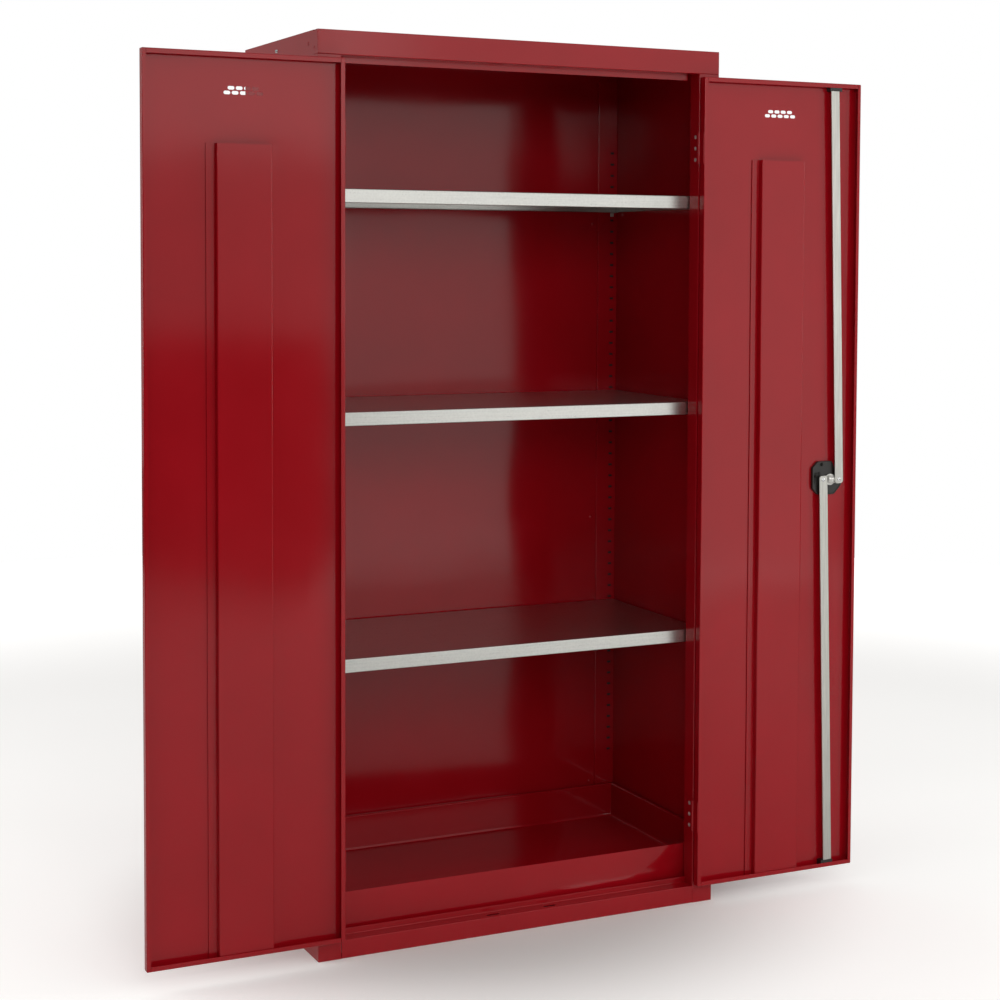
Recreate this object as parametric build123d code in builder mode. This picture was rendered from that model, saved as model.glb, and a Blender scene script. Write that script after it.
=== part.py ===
from build123d import *

import math
import os

# Flammable storage cabinet: folded sheet steel, two doors, three shelves, a spill sump
# and a three-point lock. Millimetres. The origin is on the floor under the middle of the
# cabinet, +Z is up and the doors face -Y. Both doors are built folded back flat, at 180 deg.

# Carcass
WIDTH = 900.0
DEPTH = 460.0
HEIGHT = 1830.0
SHEET = 1.2
BEND = 2.0
HALF_W = WIDTH / 2
FRONT = -DEPTH / 2
BACK = DEPTH / 2
JAMB_X = 401.5
JAMB_BACK = -192.0
JAMB_FOLD_END = 430.0
REAR_FLANGE_X = 375.0
FASCIA_Z = 1782.0
FASCIA_WRAP = 22.0
SILL_Z = 37.0
RETURN_BACK = -200.0
FASCIA_STOP_X = 389.0
STOP_DROP = 12.5

# Slotted strips that carry the shelf clips
SLOT_PITCH = 26.0
SLOT_COUNT = 55
TOP_SLOT_Z = 1635.5
SLOT_W = 9.5
SLOT_H = 5.0
FRONT_SLOT_X = 418.0
REAR_SLOT_X = 435.3
UPRIGHT_X = 399.0
UPRIGHT_FACE = 223.8
UPRIGHT_BACK = BACK - 2 * SHEET

# Shelves and sump
SHELF_HALF_W = 444.0
SHELF_FRONT = -188.0
SHELF_BACK = 221.5
SHELF_EDGE = 27.5
SHELF_SHEET = 1.0
SHELF_RETURN = 13.0
SHELF_SLOTS = {"upper": 5, "middle": 22, "lower": 41}
CLIP_TO_SHELF = 7.5
REST_GAP = 0.2
SUMP_HALF_W = 437.0
SUMP_BACK = 211.0
SUMP_FRONT_TOP = 119.5
SUMP_SIDE_TOP = 150.0
SUMP_FLOOR = 75.0
SUMP_LEDGE = 9.0

# Doors, folded back flat
DOOR_W = 397.5
DOOR_T = 18.0
DOOR_BOTTOM = 41.0
DOOR_TOP = 1774.5
DOOR_SKIN = FRONT - 5.0
DOOR_LIPS = DOOR_SKIN - DOOR_T
HINGE_LIP = 9.0
FREE_LIP = 8.0
END_LIP = 9.5
DOOR_MID_X = JAMB_X + DOOR_W / 2
DOOR_IN = DOOR_SKIN - SHEET

# Hinges
PIN_X = JAMB_X - 1.65
PIN_Y = (FRONT + DOOR_SKIN) / 2
PIN_R = 1.55
BARREL_R = 3.4
RUN_FIT = 0.07
LEAF_H = 66.0
KNUCKLE = LEAF_H / 5
KNUCKLE_GAP = 0.15
LEAF_NEAR = 3.9
LEAF_FRAME = 24.5
LEAF_DOOR = 19.5
HINGE_Z = {"upper": 1625.0, "lower": 192.0}
SCREW_Y = -217.0
SCREW_STEP = 24.0
SCREW_HEAD_R = 4.2
SCREW_R = 2.4

# Three-point lock, on the right door
LOCK_X = 734.7
LOCK_Z = 907.0
CAM_R = 20.5
ROD_W = 20.5
ROD_T = 3.0
ROD_FACE = -251.0
ROD_PIN_R = 3.0
SPINDLE_R = 5.0
HOUSING_BACK = -244.3
CAM_Y = -244.5
CAM_T = 2.4
ROD_LEAN = 1.527
ROD_TOP = 1771.0
ROD_BOTTOM = 44.5
ROD_SLOT_W = 28.0
ROD_SLOT_D = 7.0
ROD_CLOSED_X = 2 * PIN_X - LOCK_X
ROD_CLOSED_Y = 2 * PIN_Y - (ROD_FACE + ROD_T / 2)
CYLINDER_R = 7.0
CYLINDER_Z = LOCK_Z + 24.0

slot_heights = [TOP_SLOT_Z - SLOT_PITCH * i for i in range(SLOT_COUNT)]
shelf_bottoms = {name: slot_heights[i] - CLIP_TO_SHELF for name, i in SHELF_SLOTS.items()}

os.makedirs("parts", exist_ok=True)


def write(piece, name):
    """Labels a finished piece and writes its STEP file."""
    piece.label = name
    export_step(piece, f"parts/{name}.step")


def write_pair(piece, name):
    """Writes a right-hand piece, then its mirror image for the left side."""
    write(piece, f"right_{name}")
    with BuildPart() as twin:
        mirror(piece, about=Plane.YZ)
    write(twin.part, f"left_{name}")


def folded(points, thickness=SHEET, radius=BEND):
    """A section of sheet metal whose outer face follows the points, the metal on their right."""
    with BuildSketch() as section:
        with BuildLine():
            FilletPolyline(*points, radius=radius)
            offset(amount=thickness, side=Side.RIGHT)
        make_face()
    return section.sketch


def block(x, y, z, mode=Mode.ADD):
    """A box from its ranges along X, Y and Z."""
    with Locations(((x[0] + x[1]) / 2, (y[0] + y[1]) / 2, (z[0] + z[1]) / 2)):
        Box(abs(x[1] - x[0]), abs(y[1] - y[0]), abs(z[1] - z[0]), mode=mode)


def rod_y(radius, y, x, z, mode=Mode.ADD):
    """A cylinder along Y between two Y values, centred on x and z."""
    with Locations((x, (y[0] + y[1]) / 2, z)):
        Cylinder(radius, abs(y[1] - y[0]), rotation=(90, 0, 0), mode=mode)


def rod_x(radius, x, y, z, mode=Mode.ADD):
    """A cylinder along X between two X values, centred on y and z."""
    with Locations(((x[0] + x[1]) / 2, y, z)):
        Cylinder(radius, abs(x[1] - x[0]), rotation=(0, 90, 0), mode=mode)


# ---- Side panels: rear flange, wall, jamb face, jamb return and slotted fold, in one sheet
BACK_RIVET_X = 387.0
BACK_RIVET_Z = (157.5, 785.6, 1469.7)
RIVET_R = 2.4
WRAP_RIVET = (-212.0, 1795.0)
SIDE_RIVET = (-175.0, 1806.0)
WELD_X = 411.0
WELD_Z = 9.0
WELD_R = 3.0
WELD_DEPTH = 0.3
SEAM = 0.4

with BuildPart() as side_panel:
    with BuildSketch():
        add(folded([
            (REAR_FLANGE_X, BACK),
            (HALF_W, BACK),
            (HALF_W, FRONT),
            (JAMB_X, FRONT),
            (JAMB_X, JAMB_BACK),
            (JAMB_FOLD_END, JAMB_BACK),
        ]))
    extrude(amount=HEIGHT)
    block((JAMB_X - 1, HALF_W + 1), (FRONT - 1, FRONT + FASCIA_WRAP), (FASCIA_Z, HEIGHT + 1), Mode.SUBTRACT)
    block((JAMB_X - 1, HALF_W - 5), (FRONT - 1, JAMB_BACK + 1), (FASCIA_Z, HEIGHT + 1), Mode.SUBTRACT)
    with BuildSketch(Plane.XZ.offset(-JAMB_BACK - 1)):
        with Locations(*[(FRONT_SLOT_X, z) for z in slot_heights]):
            Rectangle(SLOT_W, SLOT_H)
    extrude(amount=4, mode=Mode.SUBTRACT)
    for hinge_z in HINGE_Z.values():
        for step in (-1, 0, 1):
            rod_x(SCREW_R, (JAMB_X - 1, JAMB_X + 4), SCREW_Y, hinge_z + step * SCREW_STEP, Mode.SUBTRACT)
    for z in BACK_RIVET_Z:
        rod_y(RIVET_R, (BACK - 3, BACK + 1), BACK_RIVET_X, z, Mode.SUBTRACT)
    rod_x(RIVET_R, (HALF_W - 3, HALF_W + 1), *SIDE_RIVET, Mode.SUBTRACT)
    rod_y(WELD_R, (FRONT - 1, FRONT + WELD_DEPTH), WELD_X, WELD_Z, Mode.SUBTRACT)
write_pair(side_panel.part, "side_panel")

# ---- Back panel: one flat sheet inside the rear flanges of the side panels
with BuildPart() as back_panel:
    block((BEND - HALF_W, HALF_W - BEND), (BACK - 2 * SHEET, BACK - SHEET), (0, HEIGHT - SHEET))
    for side in (-1, 1):
        for z in BACK_RIVET_Z:
            rod_y(RIVET_R, (BACK - 4, BACK + 1), side * BACK_RIVET_X, z, Mode.SUBTRACT)
write(back_panel.part, "back_panel")

with BuildPart() as back_rivets:
    for side in (-1, 1):
        for z in BACK_RIVET_Z:
            x = side * BACK_RIVET_X
            rod_y(RIVET_R, (BACK - 2 * SHEET, BACK), x, z)
            rod_y(4.2, (BACK - 2 * SHEET - 1.1, BACK - 2 * SHEET), x, z)
            rod_y(3.4, (BACK, BACK + 1.0), x, z)
    fillet(back_rivets.edges().filter_by(GeomType.CIRCLE).group_by(Axis.Y)[0], 0.9)
    fillet(back_rivets.edges().filter_by(GeomType.CIRCLE).group_by(Axis.Y)[-1], 0.8)
write(back_rivets.part, "back_panel_rivets")

# ---- Roof: a shallow pan between the side panels, its flanges turned down
ROOF_FRONT = FRONT + 14.0
ROOF_FLANGE = 20.0
with BuildPart() as roof_panel:
    block((-HALF_W + SHEET, HALF_W - SHEET), (ROOF_FRONT, BACK - 2 * SHEET), (HEIGHT - ROOF_FLANGE, HEIGHT))
    block(
        (-HALF_W + 2 * SHEET, HALF_W - 2 * SHEET),
        (ROOF_FRONT + SHEET, BACK - 3 * SHEET),
        (HEIGHT - ROOF_FLANGE - 1, HEIGHT - SHEET),
        Mode.SUBTRACT,
    )
    for side in (-1, 1):
        x = side * (HALF_W - SHEET)
        block((x - 3, x + 3), (ROOF_FRONT - 1, FRONT + 70), (HEIGHT - 40, HEIGHT - SHEET), Mode.SUBTRACT)
write(roof_panel.part, "roof_panel")

# ---- Fascia: front rail, corner wraps, top return, slotted underside and door stop
with BuildPart() as top_fascia:
    block((-HALF_W, HALF_W), (FRONT, FRONT + FASCIA_WRAP - SEAM), (FASCIA_Z, HEIGHT))
    fillet(top_fascia.edges().filter_by(Axis.Z).group_by(Axis.Y)[0], BEND)
    fillet(top_fascia.faces().filter_by(Axis.Z).sort_by(Axis.Z)[-1].edges(), 1.0)
    fillet(top_fascia.faces().sort_by(Axis.Y)[0].edges().group_by(Axis.Z)[0], BEND)
    block(
        (-HALF_W + SHEET, HALF_W - SHEET),
        (FRONT + SHEET, BACK),
        (FASCIA_Z + SHEET, HEIGHT - SHEET),
        Mode.SUBTRACT,
    )
    block((-HALF_W, HALF_W), (ROOF_FRONT - SEAM, BACK), (HEIGHT - SHEET - 1, HEIGHT + 1), Mode.SUBTRACT)
    block(
        (-JAMB_X + SHEET, JAMB_X - SHEET),
        (FRONT + FASCIA_WRAP - SEAM, RETURN_BACK),
        (FASCIA_Z, FASCIA_Z + SHEET),
    )
    block(
        (-FASCIA_STOP_X, FASCIA_STOP_X),
        (RETURN_BACK - SHEET, RETURN_BACK),
        (FASCIA_Z - STOP_DROP, FASCIA_Z + SHEET),
    )
    with BuildSketch(Plane.XY.offset(FASCIA_Z - 1)):
        with Locations((ROD_CLOSED_X, ROD_CLOSED_Y), (-ROD_CLOSED_X, ROD_CLOSED_Y)):
            RectangleRounded(ROD_SLOT_W, ROD_SLOT_D, 1.5)
    extrude(amount=4, mode=Mode.SUBTRACT)
    for side in (-1, 1):
        x = side * HALF_W
        rod_x(RIVET_R, (x - 4, x + 4), *WRAP_RIVET, Mode.SUBTRACT)
write(top_fascia.part, "top_fascia")

# ---- Corner brackets: a plate inside each top front corner, riveted to fascia and wall
BRACKET_X = HALF_W - SHEET
with BuildPart() as bracket:
    block((BRACKET_X - SHEET, BRACKET_X), (FRONT + 4, FRONT + 68), (FASCIA_Z + 4, HEIGHT - 4))
    rod_x(RIVET_R, (BRACKET_X - 4, BRACKET_X + 1), *WRAP_RIVET, Mode.SUBTRACT)
    rod_x(RIVET_R, (BRACKET_X - 4, BRACKET_X + 1), *SIDE_RIVET, Mode.SUBTRACT)
write_pair(bracket.part, "corner_bracket")

with BuildPart() as corner_rivets:
    for side in (-1, 1):
        for place in (WRAP_RIVET, SIDE_RIVET):
            inner = side * (BRACKET_X - SHEET)
            outer = side * HALF_W
            rod_x(RIVET_R, (inner, outer), *place)
            rod_x(4.2, (outer, outer + side * 1.1), *place)
            rod_x(3.4, (inner - side * 1.0, inner), *place)
    fillet(corner_rivets.edges().filter_by(GeomType.CIRCLE).group_by(Axis.X)[0], 0.9)
    fillet(corner_rivets.edges().filter_by(GeomType.CIRCLE).group_by(Axis.X)[-1], 0.9)
write(corner_rivets.part, "corner_rivets")

# ---- Earth stud on the left wall
EARTH_Y = 15.0
EARTH_Z = 1808.0
with BuildPart() as earth_stud:
    rod_x(3.5, (-HALF_W - 3.5, -HALF_W), EARTH_Y, EARTH_Z)
    chamfer(earth_stud.edges().filter_by(GeomType.CIRCLE).sort_by(Axis.X)[0], 0.8)
write(earth_stud.part, "earth_stud")

# ---- Plinth: front rail between the jambs, slotted sill, door stop and bottom return
PLINTH_X = JAMB_X - 0.2
with BuildPart() as plinth:
    with BuildSketch(Plane.YZ.offset(-PLINTH_X)):
        add(folded([
            (RETURN_BACK, 0),
            (FRONT, 0),
            (FRONT, SILL_Z),
            (RETURN_BACK, SILL_Z),
            (RETURN_BACK, SILL_Z + STOP_DROP),
        ], radius=1.5))
    extrude(amount=2 * PLINTH_X)
    with BuildSketch(Plane.XY.offset(SILL_Z - 3)):
        with Locations((ROD_CLOSED_X, ROD_CLOSED_Y), (-ROD_CLOSED_X, ROD_CLOSED_Y)):
            RectangleRounded(ROD_SLOT_W, ROD_SLOT_D, 1.5)
    extrude(amount=4, mode=Mode.SUBTRACT)
    for side in (-1, 1):
        x = side * PLINTH_X
        block((x - 11, x + 11), (RETURN_BACK - 2.5, RETURN_BACK + 1), (SILL_Z, SILL_Z + 20), Mode.SUBTRACT)
write(plinth.part, "plinth")

# ---- Floor panel under the sump, its side and rear flanges turned down
FLOOR_FRONT = RETURN_BACK + 2.5
with BuildPart() as floor_panel:
    block((-HALF_W + SHEET, HALF_W - SHEET), (JAMB_BACK + SHEET, BACK - 2 * SHEET), (0, SILL_Z))
    block(
        (-HALF_W + 2 * SHEET, HALF_W - 2 * SHEET),
        (FRONT, BACK - 3 * SHEET),
        (-1, SILL_Z - SHEET),
        Mode.SUBTRACT,
    )
    block((-JAMB_X + 0.5, JAMB_X - 0.5), (FLOOR_FRONT, JAMB_BACK + SHEET), (SILL_Z - SHEET, SILL_Z))
write(floor_panel.part, "floor_panel")

# ---- Rear uprights: slotted channels on the back panel
with BuildPart() as rear_upright:
    with BuildSketch(Plane.XY.offset(SILL_Z + 1)):
        add(folded([
            (UPRIGHT_X, UPRIGHT_BACK),
            (UPRIGHT_X, UPRIGHT_FACE),
            (HALF_W - SHEET, UPRIGHT_FACE),
            (HALF_W - SHEET, UPRIGHT_BACK),
        ][::-1], radius=1.6))
    extrude(amount=HEIGHT - 30 - SILL_Z)
    with BuildSketch(Plane.XZ.offset(-UPRIGHT_FACE - 2)):
        with Locations(*[(REAR_SLOT_X, z) for z in slot_heights]):
            Rectangle(SLOT_W, SLOT_H)
    extrude(amount=4, mode=Mode.SUBTRACT)
write_pair(rear_upright.part, "rear_upright")

# ---- Shelf clips: bent zinc-plated hooks, four under each shelf
CLIP_W = 8.5
CLIP_LEDGE = 12.0
CLIP_ABOVE = 3.0
CLIP_BELOW = 17.0


def clip(x, face, inward, z):
    """A clip on a strip whose slotted face is at y = face, the shelf towards inward."""
    span = (x - CLIP_W / 2, x + CLIP_W / 2)
    front = face + inward * SHEET
    behind = face - inward * SHEET
    ledge_top = z - CLIP_TO_SHELF - REST_GAP
    block(span, (face, front), (z - CLIP_BELOW, z + CLIP_ABOVE))
    block(span, (face, front + inward * CLIP_LEDGE), (ledge_top - SHEET, ledge_top))
    block(span, (behind - inward * SHEET, face), (z - 1.5, z + 1.5))
    block(span, (behind - inward * SHEET, behind), (z - 6, z + 1.5))


for name, index in SHELF_SLOTS.items():
    with BuildPart() as clips:
        for side in (-1, 1):
            clip(side * REAR_SLOT_X, UPRIGHT_FACE, -1, slot_heights[index])
            clip(side * FRONT_SLOT_X, JAMB_BACK, 1, slot_heights[index])
    write(clips.part, f"{name}_shelf_clips")

# ---- Shelves: galvanised trays turned down, front and rear edges returned underneath
for name, bottom in shelf_bottoms.items():
    top = bottom + SHELF_EDGE
    with BuildPart() as shelf:
        with BuildSketch(Plane.YZ.offset(-SHELF_HALF_W)):
            add(folded([
                (SHELF_FRONT + SHELF_RETURN, bottom),
                (SHELF_FRONT, bottom),
                (SHELF_FRONT, top),
                (SHELF_BACK, top),
                (SHELF_BACK, bottom),
                (SHELF_BACK - SHELF_RETURN, bottom),
            ], SHELF_SHEET, 1.8))
        extrude(amount=2 * SHELF_HALF_W)
        for side in (-1, 1):
            x = side * SHELF_HALF_W
            block(
                (x - side * SHELF_SHEET, x),
                (SHELF_FRONT + 2.5, SHELF_BACK - 2.5),
                (bottom + SHELF_SHEET, top - SHELF_SHEET / 2),
            )
    write(shelf.part, f"{name}_shelf")

# ---- Spill sump: liquid-tight pan, low at the front, standing on its skirt
SUMP_SKIRT = SILL_Z + REST_GAP
with BuildPart() as spill_sump:
    block((-SUMP_HALF_W, SUMP_HALF_W), (SHELF_FRONT, SUMP_BACK), (SUMP_SKIRT, SUMP_SIDE_TOP))
    block(
        (-SUMP_HALF_W + SHEET, SUMP_HALF_W - SHEET),
        (SHELF_FRONT + SHEET, SUMP_BACK - SHEET),
        (SUMP_FLOOR, SUMP_SIDE_TOP + 1),
        Mode.SUBTRACT,
    )
    block(
        (-SUMP_HALF_W + SHEET, SUMP_HALF_W - SHEET),
        (SHELF_FRONT + SHEET, SUMP_BACK - SHEET),
        (SUMP_SKIRT - 1, SUMP_FLOOR - SHEET),
        Mode.SUBTRACT,
    )
    block(
        (-SUMP_HALF_W - 1, SUMP_HALF_W + 1),
        (SHELF_FRONT - 1, SHELF_FRONT + SHEET),
        (SUMP_FRONT_TOP, SUMP_SIDE_TOP + 1),
        Mode.SUBTRACT,
    )
    block(
        (-SUMP_HALF_W + SHEET, SUMP_HALF_W - SHEET),
        (SHELF_FRONT, SHELF_FRONT + 2.4 * SHEET),
        (SUMP_FRONT_TOP - 14, SUMP_FRONT_TOP),
    )
    for side in (-1, 1):
        x = side * SUMP_HALF_W
        ledge = (SUMP_SIDE_TOP - SHEET, SUMP_SIDE_TOP)
        block((x - side * SHEET, x + side * SUMP_LEDGE), (SHELF_FRONT + 8, SUMP_BACK), ledge)
    block((-SUMP_HALF_W, SUMP_HALF_W), (SUMP_BACK - SHEET, SUMP_BACK + SUMP_LEDGE), ledge)
write(spill_sump.part, "spill_sump")

# ---- Doors: pans folded on four sides, with vents near the top
VENT_W = 13.5
VENT_H = 6.8
VENT_PITCH = 16.0
VENT_ROWS = ((1699.5, 5), (1708.5, 4))
LIP_SLIT = 0.8


with BuildPart() as plain_pan:
    block((JAMB_X, JAMB_X + DOOR_W), (DOOR_LIPS, DOOR_SKIN), (DOOR_BOTTOM, DOOR_TOP))
    fillet(plain_pan.edges(), BEND)
    block(
        (JAMB_X + SHEET, JAMB_X + DOOR_W - SHEET),
        (DOOR_LIPS + SHEET, DOOR_SKIN - SHEET),
        (DOOR_BOTTOM + SHEET, DOOR_TOP - SHEET),
        Mode.SUBTRACT,
    )
    lip_x = (JAMB_X + HINGE_LIP, JAMB_X + DOOR_W - FREE_LIP)
    lip_z = (DOOR_BOTTOM + END_LIP, DOOR_TOP - END_LIP)
    lip_y = (DOOR_LIPS - 1, DOOR_LIPS + 2 * SHEET)
    block(lip_x, lip_y, lip_z, Mode.SUBTRACT)
    for x in lip_x:
        slit_x = (x - LIP_SLIT / 2, x + LIP_SLIT / 2)
        block(slit_x, lip_y, (DOOR_BOTTOM + BEND, lip_z[0] + 1), Mode.SUBTRACT)
        block(slit_x, lip_y, (lip_z[1] - 1, DOOR_TOP - BEND), Mode.SUBTRACT)
    for row_z, count in VENT_ROWS:
        with BuildSketch(Plane.XZ.offset(-DOOR_SKIN - 1)):
            with Locations((DOOR_MID_X, row_z)):
                with GridLocations(VENT_PITCH, 1, count, 1):
                    SlotOverall(VENT_W, VENT_H)
        extrude(amount=4, mode=Mode.SUBTRACT)
with BuildPart() as left_door_pan:
    mirror(plain_pan.part, about=Plane.YZ)
write(left_door_pan.part, "left_door_pan")

with BuildPart() as right_door_pan:
    add(plain_pan.part)
    rod_y(SPINDLE_R + RUN_FIT, (DOOR_SKIN - 3, DOOR_SKIN + 1), LOCK_X, LOCK_Z, Mode.SUBTRACT)
    rod_y(CYLINDER_R + RUN_FIT, (DOOR_SKIN - 3, DOOR_SKIN + 1), LOCK_X, CYLINDER_Z, Mode.SUBTRACT)
    for z in (DOOR_BOTTOM, DOOR_TOP):
        x = (LOCK_X - ROD_SLOT_W / 2, LOCK_X + ROD_SLOT_W / 2)
        y = (ROD_FACE - 0.6, ROD_FACE + ROD_T + 2)
        block(x, y, (z - 2 * SHEET, z + 2 * SHEET), Mode.SUBTRACT)
write(right_door_pan.part, "right_door_pan")

# ---- Stiffeners: hat sections spot-welded inside the doors
HAT_W = 145.0
HAT_WEB = 107.0
HAT_FOOT = 109.0
HAT_H = 13.0
HAT_BOTTOM = 42.5
HAT_TOP = 1603.5
HAT_X = DOOR_MID_X + 2.0
with BuildPart() as stiffener:
    with BuildSketch(Plane.XY.offset(HAT_BOTTOM)):
        add(folded([
            (HAT_X - HAT_W / 2, DOOR_IN - SHEET),
            (HAT_X - HAT_FOOT / 2, DOOR_IN - SHEET),
            (HAT_X - HAT_WEB / 2, DOOR_IN - HAT_H),
            (HAT_X + HAT_WEB / 2, DOOR_IN - HAT_H),
            (HAT_X + HAT_FOOT / 2, DOOR_IN - SHEET),
            (HAT_X + HAT_W / 2, DOOR_IN - SHEET),
        ], SHEET, 1.3))
    extrude(amount=HAT_TOP - HAT_BOTTOM)
write_pair(stiffener.part, "door_stiffener")


# ---- Hinges: five-knuckle butts, the frame leaf screwed to the jamb, the door leaf welded
def knuckles(centre, numbers, gap):
    """Barrel rings, counted from the bottom, that a leaf's plate curls into."""
    for number in numbers:
        middle = centre - LEAF_H / 2 + (number + 0.5) * KNUCKLE
        with Locations((PIN_X, PIN_Y, middle)):
            Cylinder(BARREL_R, KNUCKLE - 2 * gap)


def leaf(centre, numbers, gap, toward, length):
    """A leaf whose plate runs from the pin towards +Y or -Y beside the jamb plane."""
    knuckles(centre, numbers, gap)
    plate = (JAMB_X - SHEET, JAMB_X)
    height = (centre - LEAF_H / 2, centre + LEAF_H / 2)
    block(plate, (PIN_Y + toward * LEAF_NEAR, PIN_Y + toward * length), height)
    for number in numbers:
        low = centre - LEAF_H / 2 + number * KNUCKLE + gap
        span = (low, low + KNUCKLE - 2 * gap)
        block(plate, (PIN_Y, PIN_Y + toward * LEAF_NEAR), span)


for place, centre in HINGE_Z.items():
    with BuildPart() as frame_leaf:
        leaf(centre, (0, 2, 4), 0, 1, LEAF_FRAME)
        with Locations((PIN_X, PIN_Y, centre)):
            Cylinder(PIN_R, 2 * LEAF_H, mode=Mode.SUBTRACT)
        for step in (-1, 0, 1):
            z = centre + step * SCREW_STEP
            rod_x(SCREW_HEAD_R, (JAMB_X - 3, JAMB_X + 1), SCREW_Y, z, Mode.SUBTRACT)
    write_pair(frame_leaf.part, f"{place}_frame_leaf")

    with BuildPart() as door_leaf:
        leaf(centre, (1, 3), KNUCKLE_GAP, -1, LEAF_DOOR)
        with Locations((PIN_X, PIN_Y, centre)):
            Cylinder(PIN_R + RUN_FIT, 2 * LEAF_H, mode=Mode.SUBTRACT)
    write_pair(door_leaf.part, f"{place}_door_leaf")

with BuildPart() as hinge_pins:
    for centre in HINGE_Z.values():
        with Locations((PIN_X, PIN_Y, centre)):
            Cylinder(PIN_R, LEAF_H)
write_pair(hinge_pins.part, "hinge_pins")

SCREW_DOME = 0.4
SCREW_LENGTH = 10.0
with BuildPart() as hinge_screws:
    for centre in HINGE_Z.values():
        for step in (-1, 0, 1):
            z = centre + step * SCREW_STEP
            rod_x(SCREW_HEAD_R, (JAMB_X - SHEET - SCREW_DOME, JAMB_X), SCREW_Y, z)
            rod_x(SCREW_R, (JAMB_X, JAMB_X + SCREW_LENGTH), SCREW_Y, z)
    chamfer(hinge_screws.edges().filter_by(GeomType.CIRCLE).group_by(Axis.X)[0], SCREW_DOME)
    for centre in HINGE_Z.values():
        for step in (-1, 0, 1):
            z = centre + step * SCREW_STEP
            low = JAMB_X - SHEET - SCREW_DOME
            block((low - 1, low + 1), (SCREW_Y - 2.4, SCREW_Y + 2.4), (z - 0.45, z + 0.45), Mode.SUBTRACT)
            block((low - 1, low + 1), (SCREW_Y - 0.45, SCREW_Y + 0.45), (z - 2.4, z + 2.4), Mode.SUBTRACT)
write_pair(hinge_screws.part, "hinge_screws")

# ---- Lock housing: a moulded case inside the right door, with its screws and escutcheon
HOUSING_OUTLINE = (
    (-44.7, -19),
    (-44.7, 26),
    (-30, 41),
    (6, 41),
    (33, -12),
    (13, -34),
    (-30, -34),
)
HOUSING_SCREWS = ((-36, 8), (-20, -26), (-20, 33))
with BuildPart() as lock_housing:
    with BuildSketch(Plane.XZ.offset(-DOOR_IN)):
        with BuildLine():
            Polyline(*[(LOCK_X + x, LOCK_Z + z) for x, z in HOUSING_OUTLINE], close=True)
        make_face()
    extrude(amount=DOOR_IN - HOUSING_BACK)
    chamfer(lock_housing.faces().sort_by(Axis.Y)[0].edges(), 1.2)
    rod_y(SPINDLE_R + RUN_FIT, (DOOR_IN + 1, HOUSING_BACK - 1), LOCK_X, LOCK_Z, Mode.SUBTRACT)
    rod_y(CYLINDER_R + RUN_FIT, (DOOR_IN + 1, DOOR_IN - 5), LOCK_X, CYLINDER_Z, Mode.SUBTRACT)
    for x, z in HOUSING_SCREWS:
        rod_y(1.8, (DOOR_IN + 1, HOUSING_BACK - 1), LOCK_X + x, LOCK_Z + z, Mode.SUBTRACT)
write(lock_housing.part, "lock_housing")

with BuildPart() as housing_screws:
    for x, z in HOUSING_SCREWS:
        rod_y(1.8, (DOOR_IN, HOUSING_BACK), LOCK_X + x, LOCK_Z + z)
        rod_y(3.4, (HOUSING_BACK, HOUSING_BACK - 1.8), LOCK_X + x, LOCK_Z + z)
    fillet(housing_screws.edges().filter_by(GeomType.CIRCLE).group_by(Axis.Y)[0], 0.9)
write(housing_screws.part, "housing_screws")

ESCUTCHEON_W = 34.0
ESCUTCHEON_H = 64.0
ESCUTCHEON_T = 5.0
ESCUTCHEON_Z = LOCK_Z + 10.0
ESCUTCHEON_FACE = DOOR_SKIN + ESCUTCHEON_T
with BuildPart() as escutcheon:
    with BuildSketch(Plane.XZ.offset(-ESCUTCHEON_FACE)):
        with Locations((LOCK_X, ESCUTCHEON_Z)):
            RectangleRounded(ESCUTCHEON_W, ESCUTCHEON_H, 10)
    extrude(amount=ESCUTCHEON_T)
    fillet(escutcheon.faces().sort_by(Axis.Y)[-1].edges(), 1.5)
    rod_y(SPINDLE_R + RUN_FIT, (DOOR_SKIN - 1, ESCUTCHEON_FACE + 1), LOCK_X, LOCK_Z, Mode.SUBTRACT)
    rod_y(CYLINDER_R + RUN_FIT, (DOOR_SKIN - 1, ESCUTCHEON_FACE + 1), LOCK_X, CYLINDER_Z, Mode.SUBTRACT)
write(escutcheon.part, "lock_escutcheon")

# ---- Rod guides: moulded blocks that keep each rod near the door's free edge
GUIDE_HALF = 15.2
GUIDE_SLOT = 12.8
GUIDE_Z = {"upper": (1757.5, DOOR_TOP - SHEET), "lower": (DOOR_BOTTOM + SHEET, 57.0)}
for place, span in GUIDE_Z.items():
    with BuildPart() as guide:
        block((LOCK_X - GUIDE_HALF, LOCK_X + GUIDE_HALF), (DOOR_IN, DOOR_LIPS + SHEET), span)
        block(
            (LOCK_X - GUIDE_SLOT, LOCK_X + GUIDE_SLOT),
            (ROD_FACE - 0.3, ROD_FACE + ROD_T + 0.6),
            (span[0] - 1, span[1] + 1),
            Mode.SUBTRACT,
        )
    write(guide.part, f"{place}_rod_guide")

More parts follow.
